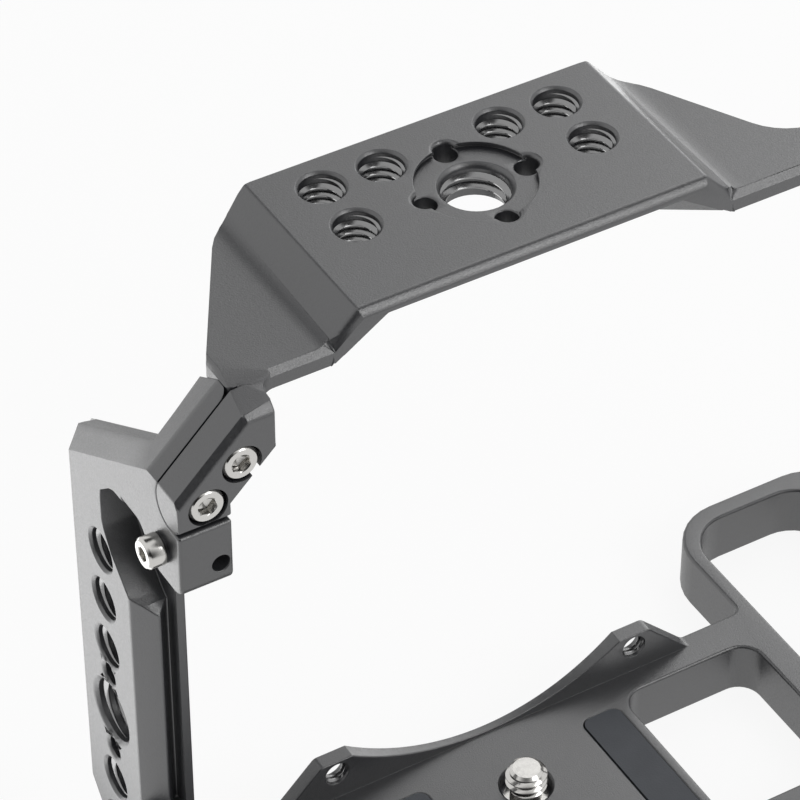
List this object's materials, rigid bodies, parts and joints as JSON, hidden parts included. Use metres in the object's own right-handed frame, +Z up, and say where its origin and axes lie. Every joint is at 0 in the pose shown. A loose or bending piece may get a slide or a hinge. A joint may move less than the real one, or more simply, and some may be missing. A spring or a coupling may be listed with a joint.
{
  "type": "camera cage",
  "caption": "Half-open aluminium cage for a mirrorless camera: raised top bridge, tapped side rail, floor with lens lip, grip loop and a captive camera screw.",
  "frame": {"origin": "where the camera screw's axis meets the floor the camera rests on", "axes": "+X towards the camera's grip, +Y towards the lens, +Z up along the camera screw; the accessory rail faces -X"},
  "size_m": [0.14, 0.0635, 0.1106],
  "materials": {
    "anodised_aluminium": "fine blasted, black anodised",
    "stainless_steel": "turned, bright",
    "black_steel": "black oxide",
    "rubber": "fine matt"
  },
  "bodies": {
    "cage": {"top_bridge": "anodised_aluminium", "left_side_plate": "anodised_aluminium", "base_plate": "anodised_aluminium", "right_upright": "anodised_aluminium", "bridge_screw_upper": "stainless_steel", "bridge_screw_lower": "stainless_steel", "bridge_dowel": "stainless_steel", "camera_screw_ring": "black_steel", "pad_left": "rubber", "pad_right": "rubber", "left_base_screw_rear": "black_steel", "left_base_screw_middle": "black_steel", "left_base_screw_front": "black_steel", "left_base_dowel_rear": "stainless_steel", "left_base_dowel_front": "stainless_steel", "right_base_screw_rear": "black_steel", "right_base_screw_front": "black_steel", "right_base_dowel_rear": "stainless_steel", "right_base_dowel_front": "stainless_steel", "right_bridge_screw_inner": "black_steel", "right_bridge_screw_outer": "black_steel", "right_bridge_dowel": "stainless_steel"},
    "camera_screw_carrier": {"camera_screw_washer": "black_steel"},
    "camera_screw_body": {"camera_screw": "stainless_steel"},
    "lug_carrier": {"lug_washer": "black_steel"},
    "lug_screw_body": {"lug_screw": "stainless_steel"}
  },
  "joints": [
    {"name": "camera_screw_slide", "type": "slide", "parent": "cage", "child": "camera_screw_carrier", "axis": [0, 0, 1], "range_m": [-0.0035, 0]},
    {"name": "camera_screw_turn", "type": "hinge", "parent": "camera_screw_carrier", "child": "camera_screw_body", "pos_m": [0, 0, 0], "axis": [0, 0, 1], "continuous": true},
    {"name": "lug_slide", "type": "slide", "parent": "cage", "child": "lug_carrier", "axis": [-1, 0, 0], "range_m": [0, 0.003]},
    {"name": "lug_turn", "type": "hinge", "parent": "lug_carrier", "child": "lug_screw_body", "pos_m": [-0.057, 0.0005, 0.075], "axis": [-1, 0, 0], "range_deg": [0, 2400]}
  ],
  "couplings": [
    {"joint": "lug_turn", "follows": "lug_slide", "rad_per_m": 13963}
  ]
}
